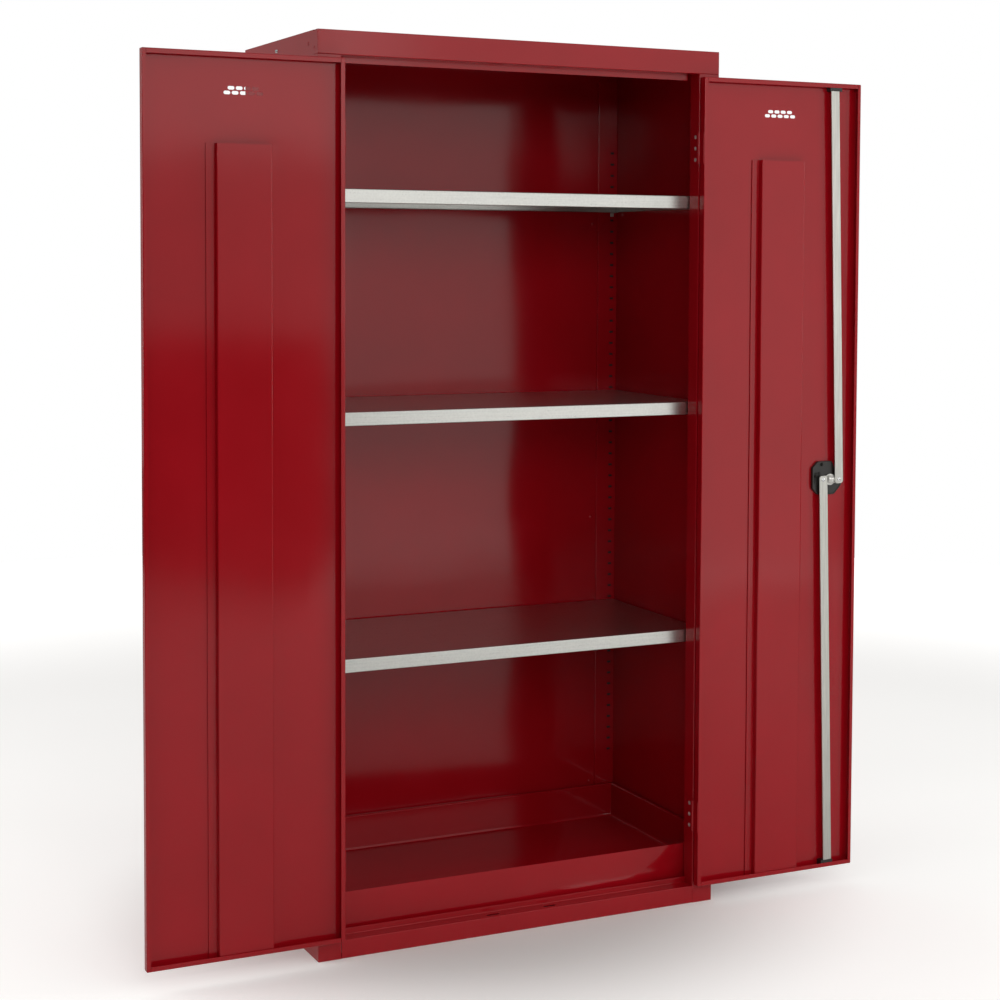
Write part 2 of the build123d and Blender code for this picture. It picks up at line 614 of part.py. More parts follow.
# ---- Handle, spindle and cam, which turn together
HUB_R = 13.0
LEVER_LENGTH = 112.0
LEVER_H = 22.0
LEVER_END_H = 16.0
HUB_TOP = -207.0
LEVER_Y = (-221.0, -209.0)
SPINDLE_END = -212.0
with BuildPart() as door_handle:
    rod_y(HUB_R, (ESCUTCHEON_FACE + 0.1, HUB_TOP), LOCK_X, LOCK_Z)
    with BuildSketch(Plane.XZ.offset(-LEVER_Y[1])):
        with BuildLine():
            Polyline(
                (LOCK_X, LOCK_Z - LEVER_H / 2),
                (LOCK_X, LOCK_Z + LEVER_H / 2),
                (LOCK_X - LEVER_LENGTH, LOCK_Z + LEVER_END_H / 2),
                (LOCK_X - LEVER_LENGTH, LOCK_Z - LEVER_END_H / 2),
                close=True,
            )
        make_face()
    extrude(amount=LEVER_Y[1] - LEVER_Y[0])
    fillet(door_handle.edges().filter_by(Axis.Y).sort_by(Axis.X)[0:2], 7.0)
    fillet(door_handle.edges().group_by(Axis.Y)[-1], 1.5)
    rod_y(SPINDLE_R, (ESCUTCHEON_FACE, SPINDLE_END), LOCK_X, LOCK_Z, Mode.SUBTRACT)
write(door_handle.part, "door_handle")

CAM_FACE = CAM_Y - CAM_T
with BuildPart() as spindle:
    rod_y(SPINDLE_R, (SPINDLE_END, CAM_FACE), LOCK_X, LOCK_Z)
write(spindle.part, "lock_spindle")

CAM_H = 17.0
with BuildPart() as cam:
    with BuildSketch(Plane.XZ.offset(-CAM_Y)):
        with Locations((LOCK_X, LOCK_Z)):
            SlotCenterToCenter(2 * CAM_R, CAM_H)
            Circle(12.5)
            Circle(SPINDLE_R, mode=Mode.SUBTRACT)
            with Locations((CAM_R, 0), (-CAM_R, 0)):
                Circle(ROD_PIN_R, mode=Mode.SUBTRACT)
    extrude(amount=CAM_T)
write(cam.part, "lock_cam")

with BuildPart() as cam_screw:
    rod_y(8.5, (CAM_FACE, CAM_FACE - 0.8), LOCK_X, LOCK_Z)
    rod_y(6.2, (CAM_FACE - 0.8, CAM_FACE - 4.4), LOCK_X, LOCK_Z)
    rod_y(9.0, (CAM_FACE - 4.4, CAM_FACE - 9.0), LOCK_X, LOCK_Z)
    fillet(cam_screw.edges().filter_by(GeomType.CIRCLE).group_by(Axis.Y)[0], 3.5)
write(cam_screw.part, "cam_screw")

PIN_HEAD_R = 4.6
PIN_HEAD_T = 1.2
with BuildPart() as rod_pins:
    for side in (-1, 1):
        x = LOCK_X + side * CAM_R
        rod_y(ROD_PIN_R, (CAM_Y, ROD_FACE - 0.1), x, LOCK_Z)
        rod_y(PIN_HEAD_R, (ROD_FACE - 0.1, ROD_FACE - 0.1 - PIN_HEAD_T), x, LOCK_Z)
    fillet(rod_pins.edges().filter_by(GeomType.CIRCLE).group_by(Axis.Y)[0], 0.6)
write(rod_pins.part, "rod_pins")

# ---- Lock rods: flat bars, each hung on its cam pin and leaning a little to its guide
ROD_TAIL = 9.0
ROD_CORNER = 4.0
TIP_TAPER = 4.0


def rod_outline(up, reach):
    """A flat bar's outline from its pin hole at 0, 0 towards its guide, up or down."""
    with BuildSketch() as outline:
        with BuildLine():
            Polyline(
                (-ROD_W / 2, up * (ROD_CORNER - ROD_TAIL)),
                (-ROD_W / 2, up * (reach - TIP_TAPER)),
                (TIP_TAPER / 2 - ROD_W / 2, up * reach),
                (ROD_W / 2 - TIP_TAPER / 2, up * reach),
                (ROD_W / 2, up * (reach - TIP_TAPER)),
                (ROD_W / 2, up * (ROD_CORNER - ROD_TAIL)),
                (ROD_W / 2 - ROD_CORNER, -up * ROD_TAIL),
                (ROD_CORNER - ROD_W / 2, -up * ROD_TAIL),
                close=True,
            )
        make_face()
        Circle(ROD_PIN_R + RUN_FIT, mode=Mode.SUBTRACT)
    return outline.sketch


def rod_plane(pin_x):
    """The front face of a rod, its own up direction leaning back over the spindle."""
    lean = math.radians(ROD_LEAN)
    return Plane(
        origin=(pin_x, ROD_FACE, LOCK_Z),
        x_dir=(math.cos(lean), 0, math.sin(lean)),
        z_dir=(0, -1, 0),
    )


rod_stretch = 1 / math.cos(math.radians(ROD_LEAN))
with BuildPart() as upper_rod:
    with BuildSketch(rod_plane(LOCK_X + CAM_R)):
        add(rod_outline(1, (ROD_TOP - LOCK_Z) * rod_stretch))
    extrude(amount=-ROD_T)
write(upper_rod.part, "upper_lock_rod")

with BuildPart() as lower_rod:
    with BuildSketch(rod_plane(LOCK_X - CAM_R)):
        add(rod_outline(-1, (LOCK_Z - ROD_BOTTOM) * rod_stretch))
    extrude(amount=-ROD_T)
write(lower_rod.part, "lower_lock_rod")

# ---- Key cylinder, above the handle
with BuildPart() as lock_cylinder:
    rod_y(CYLINDER_R, (DOOR_IN - 4.9, ESCUTCHEON_FACE + 1.5), LOCK_X, CYLINDER_Z)
    chamfer(lock_cylinder.edges().filter_by(GeomType.CIRCLE).sort_by(Axis.Y)[-1], 0.8)
    face = ESCUTCHEON_FACE + 1.5
    block((LOCK_X - 1, LOCK_X + 1), (face - 6, face + 1), (CYLINDER_Z - 4, CYLINDER_Z + 4), Mode.SUBTRACT)
write(lock_cylinder.part, "lock_cylinder")
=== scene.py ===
import bmesh
import bpy
import math
from mathutils import Matrix, Vector, noise


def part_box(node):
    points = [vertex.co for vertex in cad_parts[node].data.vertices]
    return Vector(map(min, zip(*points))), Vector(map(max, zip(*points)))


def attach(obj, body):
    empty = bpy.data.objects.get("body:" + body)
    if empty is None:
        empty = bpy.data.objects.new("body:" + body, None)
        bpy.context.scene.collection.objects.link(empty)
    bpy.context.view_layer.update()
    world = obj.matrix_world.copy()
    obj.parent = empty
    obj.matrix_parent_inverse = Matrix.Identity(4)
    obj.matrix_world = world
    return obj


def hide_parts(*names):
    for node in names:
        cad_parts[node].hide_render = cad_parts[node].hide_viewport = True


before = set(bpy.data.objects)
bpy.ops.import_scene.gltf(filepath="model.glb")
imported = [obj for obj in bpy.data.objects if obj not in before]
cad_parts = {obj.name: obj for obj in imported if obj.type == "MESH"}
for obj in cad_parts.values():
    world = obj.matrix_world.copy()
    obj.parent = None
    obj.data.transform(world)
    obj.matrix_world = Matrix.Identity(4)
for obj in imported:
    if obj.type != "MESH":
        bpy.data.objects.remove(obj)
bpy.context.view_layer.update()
studio = bpy.context.scene
MM = 0.001

# ---------------------------------------------------------------------------
# Camera: at the height of a standing person's chest, left of the cabinet and
# turned towards it, as one stands to look into the open studio.
# ---------------------------------------------------------------------------
EYE = Vector((-1.74413, -3.87489, 1.39075))
TURN = math.radians(26.29)
TILT = math.radians(-3.09)
ROLL = math.radians(0.31)
LENS = 71.32
SENSOR = 36.0
SHIFT = (-0.0518, -0.1348)

forward = Vector((math.sin(TURN) * math.cos(TILT), math.cos(TURN) * math.cos(TILT), math.sin(TILT)))
level = Vector((math.cos(TURN), -math.sin(TURN), 0))
upright = level.cross(forward)
right = level * math.cos(ROLL) + upright * math.sin(ROLL)
above = upright * math.cos(ROLL) - level * math.sin(ROLL)

view = bpy.data.cameras.new("camera")
view.lens = LENS
view.sensor_width = SENSOR
view.shift_x, view.shift_y = SHIFT
view.clip_end = 60
camera = bpy.data.objects.new("camera", view)
camera.matrix_world = Matrix((right, above, -forward)).transposed().to_4x4()
camera.location = EYE
studio.collection.objects.link(camera)
studio.camera = camera

# ---------------------------------------------------------------------------
# Studio: a pale paper floor that glows for the camera alone, a dim room and large soft
# lights. The glow fades out under the cabinet, where the paper lies in shade.
# ---------------------------------------------------------------------------


def linear(hex_colour):
    """An sRGB hex colour as the linear values that shaders and lights take."""
    channels = [int(hex_colour[i:i + 2], 16) / 255 for i in (1, 3, 5)]
    return [c / 12.92 if c <= 0.04045 else ((c + 0.055) / 1.055) ** 2.4 for c in channels] + [1.0]


def node(tree, kind, settings=None, ramp=None, **inputs):
    """Adds a shader node. Settings are its properties, ramp its two (place, colour) stops,
    and inputs are values or the sockets that feed it."""
    made = tree.nodes.new("ShaderNode" + kind)
    for name, value in (settings or {}).items():
        setattr(made, name, value)
    if ramp:
        for stop, (place, colour) in zip(made.color_ramp.elements, ramp):
            stop.position = place
            stop.color = linear(colour)
    for name, value in inputs.items():
        socket = made.inputs[name.replace("_", " ")]
        if isinstance(value, bpy.types.NodeSocket):
            tree.links.new(value, socket)
        else:
            socket.default_value = value
    return made


def material(name):
    """A new material with only an output, and its node tree."""
    made = bpy.data.materials.new(name)
    made.use_nodes = True
    made.node_tree.nodes.clear()
    return made, made.node_tree


def surface(tree, shader):
    """Joins a shader to the material's output."""
    output = tree.nodes.new("ShaderNodeOutputMaterial")
    tree.links.new(shader.outputs[0], output.inputs["Surface"])


FLOOR_R = 5.2
FADE_FROM = 2.4
GLOW_NEAR = 0.4
SHADE_FROM, SHADE_TO = 0.3, 0.9
MOTTLES_PER_M = 0.6
# Seamless background paper: off-white and dull, a little mottled over a metre or two.
paper, tree = material("white_studio_paper")
where = node(tree, "TexCoord").outputs["Object"]
mottle = node(tree, "TexNoise", Vector=where, Scale=MOTTLES_PER_M, Detail=2.0)
tone = node(tree, "ValToRGB", ramp=[(0.3, "#f2f2f1"), (0.7, "#f8f8f7")], Fac=mottle.outputs["Fac"])
away = node(tree, "VectorMath", {"operation": "LENGTH"}, Vector=where).outputs["Value"]
fade = node(
    tree, "MapRange", {"interpolation_type": "SMOOTHSTEP"},
    Value=away, From_Min=FADE_FROM, From_Max=FLOOR_R, To_Min=GLOW_NEAR, To_Max=1.0,
)
shade = node(
    tree, "MapRange", {"interpolation_type": "SMOOTHSTEP"},
    Value=away, From_Min=SHADE_FROM, From_Max=SHADE_TO,
)
seen = node(tree, "LightPath").outputs["Is Camera Ray"]
lit = node(tree, "Math", {"operation": "MULTIPLY"}, Value=fade.outputs["Result"])
tree.links.new(shade.outputs["Result"], lit.inputs[1])
glow = node(tree, "Math", {"operation": "MULTIPLY"}, Value=lit.outputs["Value"])
tree.links.new(seen, glow.inputs[1])
surface(tree, node(
    tree, "BsdfPrincipled", Base_Color=tone.outputs["Color"], Roughness=0.85,
    Emission_Color=linear("#ffffff"), Emission_Strength=glow.outputs["Value"],
))
bm = bmesh.new()
bmesh.ops.create_circle(bm, cap_ends=True, segments=96, radius=FLOOR_R)
sheet = bpy.data.meshes.new("studio_floor")
bm.to_mesh(sheet)
bm.free()
sheet.materials.append(paper)
floor = bpy.data.objects.new("studio_floor", sheet)
studio.collection.objects.link(floor)

ROOM_DIM = 0.07
room = bpy.data.worlds.new("dim_room")
studio.world = room
room.use_nodes = True
room.node_tree.nodes.clear()
seen = node(room.node_tree, "LightPath").outputs["Is Camera Ray"]
dim = node(room.node_tree, "MapRange", Value=seen, To_Min=ROOM_DIM, To_Max=1.0)
backdrop = node(
    room.node_tree, "Background", Color=linear("#ffffff"), Strength=dim.outputs["Result"],
)
outlet = room.node_tree.nodes.new("ShaderNodeOutputWorld")
room.node_tree.links.new(backdrop.outputs[0], outlet.inputs["Surface"])
studio.view_settings.view_transform = "Standard"


def softbox(name, place, aim, size, watts):
    """A rectangular, faintly warm soft light that points at a place, in metres and watts."""
    lamp = bpy.data.lights.new(name, "AREA")
    lamp.shape = "RECTANGLE"
    lamp.size, lamp.size_y = size
    lamp.energy = watts
    lamp.color = linear("#fffdfa")[:3]
    holder = bpy.data.objects.new(name, lamp)
    holder.location = place
    holder.rotation_mode = "QUATERNION"
    holder.rotation_quaternion = (Vector(aim) - Vector(place)).to_track_quat("-Z", "Y")
    studio.collection.objects.link(holder)


softbox("ceiling", (0, 0, 6.0), (0, 0, 0), (20, 20), 600)
softbox("key_light", (-1.4, -5.0, 2.6), (0, -0.2, 0.9), (1.6, 1.6), 36)
softbox("side_panel", (2.0, -3.7, 1.3), (0.6, 0, 1.0), (2.1, 2.6), 20)
softbox("high_panel", (0.1, -3.7, 2.5), (0, 0, 1.6), (1.7, 1.5), 8)
softbox("high_panel_rim", (0.5, -3.75, 1.9), (0, 0, 1.4), (1.3, 1.6), 4)
softbox("right_fill", (3.2, -2.0, 1.5), (0.6, -0.2, 1.0), (0.8, 1.6), 20)
softbox("rear_panel", (-2.1, 4.0, 1.7), (-0.45, 0, 1.0), (2.0, 2.4), 4.5)
softbox("left_fill", (-3.0, 1.0, 1.7), (-0.45, 0, 1.1), (1.5, 1.5), 24)

# ---------------------------------------------------------------------------
# Side panels: each is one sheet of 1.2 mm steel, folded to the wall, the jamb and the
# slotted strip, then powder coated red. Flat sheet swells a little after it is folded.
# ---------------------------------------------------------------------------
PEEL = 3.0 * MM
PEEL_DEPTH = 0.5 * MM
DRIFT = 160.0 * MM
# Polyester powder, sprayed and baked: a hard gloss film with a faint orange peel, so
# it mirrors its surroundings almost sharply over a deep red.
powder, tree = material("red_polyester_powder_coat")
where = node(tree, "TexCoord").outputs["Object"]
drift = node(tree, "TexNoise", Vector=where, Scale=1 / DRIFT, Detail=3.0)
tone = node(tree, "ValToRGB", ramp=[(0.3, "#9b0915"), (0.7, "#a20a18")], Fac=drift.outputs["Fac"])
gloss = node(tree, "MapRange", Value=drift.outputs["Fac"], To_Min=0.08, To_Max=0.15)
peel = node(tree, "TexNoise", Vector=where, Scale=1 / PEEL, Detail=1.0)
dimple = node(tree, "Bump", Height=peel.outputs["Fac"], Strength=0.05, Distance=PEEL_DEPTH)
surface(tree, node(
    tree, "BsdfPrincipled",
    Base_Color=tone.outputs["Color"], Roughness=gloss.outputs["Result"], IOR=1.43,
    Normal=dimple.outputs["Normal"],
))


def finished(name, bm, body, slot, finish, *nodes, crease=40):
    """Makes the mesh a smooth piece that rides on a body and stands for CAD nodes. Edges
    over crease degrees stay sharp."""
    mesh = bpy.data.meshes.new(name)
    bm.to_mesh(mesh)
    bm.free()
    mesh.shade_smooth()
    mesh.set_sharp_from_angle(angle=math.radians(crease))
    mesh.materials.append(finish)
    made = bpy.data.objects.new(name, mesh)
    studio.collection.objects.link(made)
    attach(made, body)
    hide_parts(*nodes)
    return made


def merged(name):
    """A copy of a CAD node's mesh with its triangles joined up."""
    bm = bmesh.new()
    bm.from_mesh(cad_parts[name].data)
    bmesh.ops.remove_doubles(bm, verts=bm.verts, dist=0.00001)
    return bm


def flat_faces(piece):
    """Keeps a piece's large faces flat in the light, so that only its bends shade off."""
    piece.modifiers.new("flat faces", "WEIGHTED_NORMAL").keep_sharp = True


CELL = 32.0 * MM
BUCKLE = 210.0 * MM
FADE = 80.0 * MM
FAR_OFF = (0, 0, -9)


def buckled(name, body, axis, level, reach, swell, like=None, stiff=FAR_OFF):
    """A CAD sheet cut into cells. What lies within reach of a level on an axis swells by
    noise, and stays flat at its rim and near a stiff place. Like names the CAD node whose
    box sets the cells and the rim."""
    bm = merged(name)
    low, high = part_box(like or name)
    spans = [i for i in range(3) if i != axis]
    for i in spans:
        normal = Vector([float(i == j) for j in range(3)])
        steps = int((high[i] - low[i]) / CELL)
        for k in range(1, steps):
            cut = Vector(low) + normal * (high[i] - low[i]) * k / steps
            geometry = bm.verts[:] + bm.edges[:] + bm.faces[:]
            bmesh.ops.bisect_plane(bm, geom=geometry, plane_co=cut, plane_no=normal, dist=0.00001)
    for v in bm.verts:
        if abs(v.co[axis] - level) < reach:
            inset = min(min(v.co[i] - low[i], high[i] - v.co[i]) for i in spans) / FADE
            clear = (v.co - Vector(stiff)).length / FADE - 1
            ease = min(max(inset, 0), max(clear, 0), 1)
            flat = Vector([0 if i == axis else v.co[i] for i in range(3)])
            v.co[axis] += swell * ease * ease * (3 - 2 * ease) * noise.noise(flat / BUCKLE)
    flat_faces(finished(f"{name}_sheet", bm, body, "red_powder_coat", powder, name, crease=30))


WALL_X = 449.4 * MM
for side, sign in (("left", -1), ("right", 1)):
    buckled(f"{side}_side_panel", "cabinet", 0, sign * WALL_X, 2 * MM, 1.6 * MM)

# ---------------------------------------------------------------------------
# Back panel: one flat sheet, riveted inside the rear flanges of the side panels. It is
# the largest sheet, so it swells the most.
# ---------------------------------------------------------------------------
BACK_Y = 228.2 * MM
buckled("back_panel", "cabinet", 1, BACK_Y, 2 * MM, 1.8 * MM)

# ---------------------------------------------------------------------------
# Roof, fascia, corner brackets, plinth, floor and rear uprights: folded from the same
# steel sheet, welded or riveted to the side panels, and sprayed with them.
# ---------------------------------------------------------------------------


def coat(finish, *names):
    """Gives CAD nodes their finish."""
    for name in names:
        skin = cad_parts[name].data
        skin.materials.clear()
        skin.materials.append(finish)


coat(
    powder, "roof_panel", "top_fascia", "left_corner_bracket", "right_corner_bracket",
    "plinth", "floor_panel", "left_rear_upright", "right_rear_upright",
)

# ---------------------------------------------------------------------------
# Painted shade behind the slots of the rear uprights: a near-black strip inside each
# channel stands in for the shade that deep slots lie in, so that the slots look dark.
# ---------------------------------------------------------------------------
SHADE_MOTTLE = 6.0 * MM
CHANNEL_X = 435.3
CHANNEL_Y = 226.2
CHANNEL_MID_Z = 935
CHANNEL_FACE = (14, 0.6, 1440)
# Painted shade for the slots: near black, dull and patchy.
slot_shade, tree = material("painted_slot_shade")
where = node(tree, "TexCoord").outputs["Object"]
patches = node(tree, "TexNoise", Vector=where, Scale=1 / SHADE_MOTTLE, Detail=2.0)
tone = node(tree, "ValToRGB", ramp=[(0.3, "#1a0c0b"), (0.7, "#2b1211")], Fac=patches.outputs["Fac"])
surface(tree, node(tree, "BsdfPrincipled", Base_Color=tone.outputs["Color"], Roughness=0.8))
bm = bmesh.new()
for x in (-CHANNEL_X, CHANNEL_X):
    face = bmesh.ops.create_cube(bm, size=1)["verts"]
    bmesh.ops.scale(bm, verts=face, vec=Vector(CHANNEL_FACE) * MM)
    bmesh.ops.translate(bm, verts=face, vec=Vector((x, CHANNEL_Y, CHANNEL_MID_Z)) * MM)
bmesh.ops.bevel(
    bm, geom=bm.edges[:], offset=0.1 * MM, segments=1, affect="EDGES", profile=0.5, material=-1,
)
finished("upright_slot_shade_strips", bm, "cabinet", "red_powder_coat", slot_shade)

# ---------------------------------------------------------------------------
# Pop rivets: the back panel's, and those through the fascia's corner wraps. Each is a
# low dome with a dimple where its mandrel broke off, painted with the cabinet.
# ---------------------------------------------------------------------------
TURN_STEPS = 24


def turned(bm, profile, place, toward):
    """Spins (radius, height) pairs about a direction at a place, all in millimetres.
    Returns the vertices."""
    before = set(bm.verts)
    rim = [bm.verts.new((radius * MM, 0, height * MM)) for radius, height in profile]
    line = [bm.edges.new(ends) for ends in zip(rim, rim[1:])]
    bmesh.ops.spin(
        bm, geom=rim + line, cent=(0, 0, 0), axis=(0, 0, 1), angle=math.tau,
        steps=TURN_STEPS, use_merge=True,
    )
    made = [v for v in bm.verts if v not in before]
    bmesh.ops.remove_doubles(bm, verts=made, dist=0.000001)
    made = [v for v in bm.verts if v not in before]
    bmesh.ops.recalc_face_normals(bm, faces=list({f for v in made for f in v.link_faces}))
    turn = Vector((0, 0, 1)).rotation_difference(Vector(toward)).to_matrix()
    bmesh.ops.rotate(bm, verts=made, cent=(0, 0, 0), matrix=turn)
    bmesh.ops.translate(bm, verts=made, vec=Vector(place) * MM)
    return made


RIVET = (
    (0, 0.35), (0.9, 0.35), (1.1, 0.9), (1.7, 1.1), (2.8, 0.85), (3.8, 0.4), (4.2, 0),
    (2.4, 0), (2.4, -2.4), (3.4, -2.4), (3.2, -3.1), (1.8, -3.4), (0, -3.4),
)
BACK_FACE = 227.6
bm = bmesh.new()
for x in (-387, 387):
    for z in (157.5, 785.6, 1469.7):
        turned(bm, RIVET, (x, BACK_FACE, z), (0, -1, 0))
finished("back_panel_pop_rivets", bm, "cabinet", "red_powder_coat", powder, "back_panel_rivets")
SIDE_FACE = 450
bm = bmesh.new()
for sign in (-1, 1):
    for y, z in ((-212, 1795), (-175, 1806)):
        turned(bm, RIVET, (sign * SIDE_FACE, y, z), (sign, 0, 0))
finished("corner_pop_rivets", bm, "cabinet", "red_powder_coat", powder, "corner_rivets")

# ---------------------------------------------------------------------------
# Earth stud: a short zinc-plated stud, welded to the outside of the left wall near its
# top. The lead that bonds the cabinet to earth is clamped to its thread.
# ---------------------------------------------------------------------------
CLOUD = 3.0 * MM
CREST, ROOT, PITCH = 3.5, 3.05, 1.0
STUD_AT = (-450, 15, 1808)
# Electroplated zinc: bright and faintly blue, a little cloudy.
zinc, tree = material("bright_zinc_plate")
where = node(tree, "TexCoord").outputs["Object"]
clouds = node(tree, "TexNoise", Vector=where, Scale=1 / CLOUD)
tone = node(tree, "ValToRGB", ramp=[(0.3, "#c4c6c8"), (0.7, "#e2e3e3")], Fac=clouds.outputs["Fac"])
surface(tree, node(
    tree, "BsdfPrincipled", Base_Color=tone.outputs["Color"], Roughness=0.22, Metallic=1.0,
))
thread = [(ROOT if i % 2 else CREST, i * PITCH / 2) for i in range(6)]
bm = bmesh.new()
turned(bm, [(0, 0), *thread, (2.6, 3.5), (0, 3.5)], STUD_AT, (-1, 0, 0))
finished("threaded_earth_stud", bm, "cabinet", "zinc_plate", zinc, "earth_stud", crease=25)

# ---------------------------------------------------------------------------
# Shelf clips: bent strips of zinc-plated spring steel. Each hooks through a slot of its
# upright and carries a shelf corner on its ledge.
# ---------------------------------------------------------------------------
# Zinc-plated and passivated spring steel: duller and greyer than bright zinc.
passivated, tree = material("passivated_zinc_plate")
where = node(tree, "TexCoord").outputs["Object"]
clouds = node(tree, "TexNoise", Vector=where, Scale=1 / CLOUD)
tone = node(tree, "ValToRGB", ramp=[(0.3, "#cfcfca"), (0.7, "#e6e6e2")], Fac=clouds.outputs["Fac"])
surface(tree, node(
    tree, "BsdfPrincipled", Base_Color=tone.outputs["Color"], Roughness=0.28, Metallic=0.75,
))
CLIP_W = 8.5
CLIP_SHEET = 1.1
CLIP_BEND = 0.8
LEDGE_DROP = 8.25
LEDGE_LENGTH = 12


def strip(bm, x, path):
    """A strip one clip wide at x, bent along a path of (y, z) points, in millimetres."""
    rim = [bm.verts.new(((x - CLIP_W / 2) * MM, y * MM, z * MM)) for y, z in path]
    line = [bm.edges.new(ends) for ends in zip(rim, rim[1:])]
    grown = bmesh.ops.extrude_edge_only(bm, edges=line)["geom"]
    far = [g for g in grown if isinstance(g, bmesh.types.BMVert)]
    bmesh.ops.translate(bm, verts=far, vec=(CLIP_W * MM, 0, 0))
    bends = [e for v in rim[1:-1] for e in v.link_edges if e.other_vert(v) in far]
    bmesh.ops.bevel(
        bm, geom=bends, offset=CLIP_BEND * MM, segments=3, affect="EDGES", profile=0.5,
        material=-1,
    )


def sheet_metal(piece, thickness, offset):
    """Gives a piece made of open faces its sheet thickness, in millimetres: centred on
    the faces at offset 0, and behind them at -1."""
    wall = piece.modifiers.new("sheet", "SOLIDIFY")
    wall.thickness = thickness * MM
    wall.offset = offset
    flat_faces(piece)


for shelf, slot_z in (("upper", 1505.5), ("middle", 1063.5), ("lower", 569.5)):
    bm = bmesh.new()
    for x, face, inward in (
        (-435.3, 223.8, -1), (435.3, 223.8, -1), (-418, -192, 1), (418, -192, 1),
    ):
        front = face + inward * 0.6
        behind = face - inward * 1.8
        crook = slot_z + 0.9
        ledge = slot_z - LEDGE_DROP
        strip(bm, x, ((behind, slot_z - 6), (behind, crook), (front, crook), (front, slot_z - 17)))
        strip(bm, x, ((front, ledge), (front + inward * LEDGE_LENGTH, ledge)))
    clips = finished(
        f"{shelf}_shelf_spring_clips", bm, "cabinet", "zinc_plate", passivated,
        f"{shelf}_shelf_clips",
    )
    sheet_metal(clips, CLIP_SHEET, 0)

# ---------------------------------------------------------------------------
# Shelves: trays of 1 mm galvanised sheet, turned down on four sides, with the front and
# rear edges returned underneath. They lift off their clips.
# ---------------------------------------------------------------------------
SPANGLE = 5.0 * MM
ROLLED = 1.5 * MM
# Hot-dip galvanised sheet, skin passed: pale zinc with a faint spangle and fine rolling
# lines along the shelf.
galvanised, tree = material("hot_dip_galvanised_sheet")
where = node(tree, "TexCoord").outputs["Object"]
crystals = node(tree, "TexVoronoi", Vector=where, Scale=1 / SPANGLE)
along = node(tree, "Mapping", Vector=where, Scale=(0.02, 1, 1))
rolling = node(tree, "TexNoise", Vector=along.outputs["Vector"], Scale=1 / ROLLED, Detail=2.0)
mixed = node(
    tree, "Mix", {"data_type": "FLOAT"}, Factor=0.3,
    A=rolling.outputs["Fac"], B=crystals.outputs["Distance"],
)
tone = node(tree, "ValToRGB", ramp=[(0.2, "#bcbdba"), (0.7, "#cfd0cc")], Fac=mixed.outputs["Result"])
gloss = node(tree, "MapRange", Value=mixed.outputs["Result"], To_Min=0.24, To_Max=0.36)
surface(tree, node(
    tree, "BsdfPrincipled",
    Base_Color=tone.outputs["Color"], Roughness=gloss.outputs["Result"], Metallic=1.0,
))


def edges_at(bm, **place):
    """The edges that lie at a coordinate in millimetres, such as y=-188."""
    wanted = [("xyz".index(axis), at * MM) for axis, at in place.items()]
    return [
        e for e in bm.edges
        if all(abs(v.co[i] - at) < 0.00001 for v in e.verts for i, at in wanted)
    ]


def fold(bm, edges, *moves):
    """Grows sheet from its edges by each move in turn, in millimetres. Returns the bends."""
    bends = []
    for move in moves:
        bends += edges
        grown = bmesh.ops.extrude_edge_only(bm, edges=edges)["geom"]
        far = {g for g in grown if isinstance(g, bmesh.types.BMVert)}
        bmesh.ops.translate(bm, verts=list(far), vec=Vector(move) * MM)
        edges = [e for e in bm.edges if e.verts[0] in far and e.verts[1] in far]
    return bends


def bend(bm, edges, radius):
    """Rounds the bends of folded sheet, radius in millimetres."""
    bmesh.ops.bevel(
        bm, geom=edges, offset=radius * MM, segments=4, affect="EDGES", profile=0.5, material=-1,
    )


SHELF_X = 444
SHELF_FRONT = -188
SHELF_BACK = 221.5
SHELF_DEEP = 27.5
SHELF_RETURN = 13
FLANK_DEEP = 26.5
SHELF_SHEET = 1.0
SHELF_SAG = 0.5 * MM
NOTCH = 2.5
FOLD_R = 1.6
for shelf, bottom in (("upper", 1498.0), ("middle", 1056.0), ("lower", 562.0)):
    top = bottom + SHELF_DEEP
    bm = bmesh.new()
    bmesh.ops.create_grid(bm, x_segments=34, y_segments=16, size=0.5)
    size = Vector((2 * SHELF_X, SHELF_BACK - SHELF_FRONT, 1)) * MM
    bmesh.ops.scale(bm, verts=bm.verts, vec=size)
    middle = Vector((0, (SHELF_FRONT + SHELF_BACK) / 2, top)) * MM
    bmesh.ops.translate(bm, verts=bm.verts, vec=middle)
    for y in (SHELF_FRONT + NOTCH, SHELF_BACK - NOTCH):
        geometry = bm.verts[:] + bm.edges[:] + bm.faces[:]
        bmesh.ops.bisect_plane(bm, geom=geometry, plane_co=(0, y * MM, 0), plane_no=(0, 1, 0))
    for v in bm.verts:
        inset = min(
            SHELF_X * MM - abs(v.co.x), v.co.y - SHELF_FRONT * MM, SHELF_BACK * MM - v.co.y,
        ) / FADE
        v.co.z += SHELF_SAG * min(max(inset, 0), 1) * (noise.noise(v.co / BUCKLE) - 0.8)
    down = (0, 0, -SHELF_DEEP)
    bends = fold(bm, edges_at(bm, y=SHELF_FRONT), down, (0, SHELF_RETURN, 0))
    bends += fold(bm, edges_at(bm, y=SHELF_BACK), down, (0, -SHELF_RETURN, 0))
    for x in (-SHELF_X, SHELF_X):
        flank = [
            e for e in edges_at(bm, x=x, z=top)
            if all(SHELF_FRONT + 2 < v.co.y / MM < SHELF_BACK - 2 for v in e.verts)
        ]
        bends += fold(bm, flank, (0, 0, -FLANK_DEEP))
    bend(bm, bends, FOLD_R)
    tray = finished(
        f"{shelf}_shelf_tray", bm, f"{shelf}_shelf", "galvanised_steel", galvanised,
        f"{shelf}_shelf",
    )
    sheet_metal(tray, SHELF_SHEET, -1)

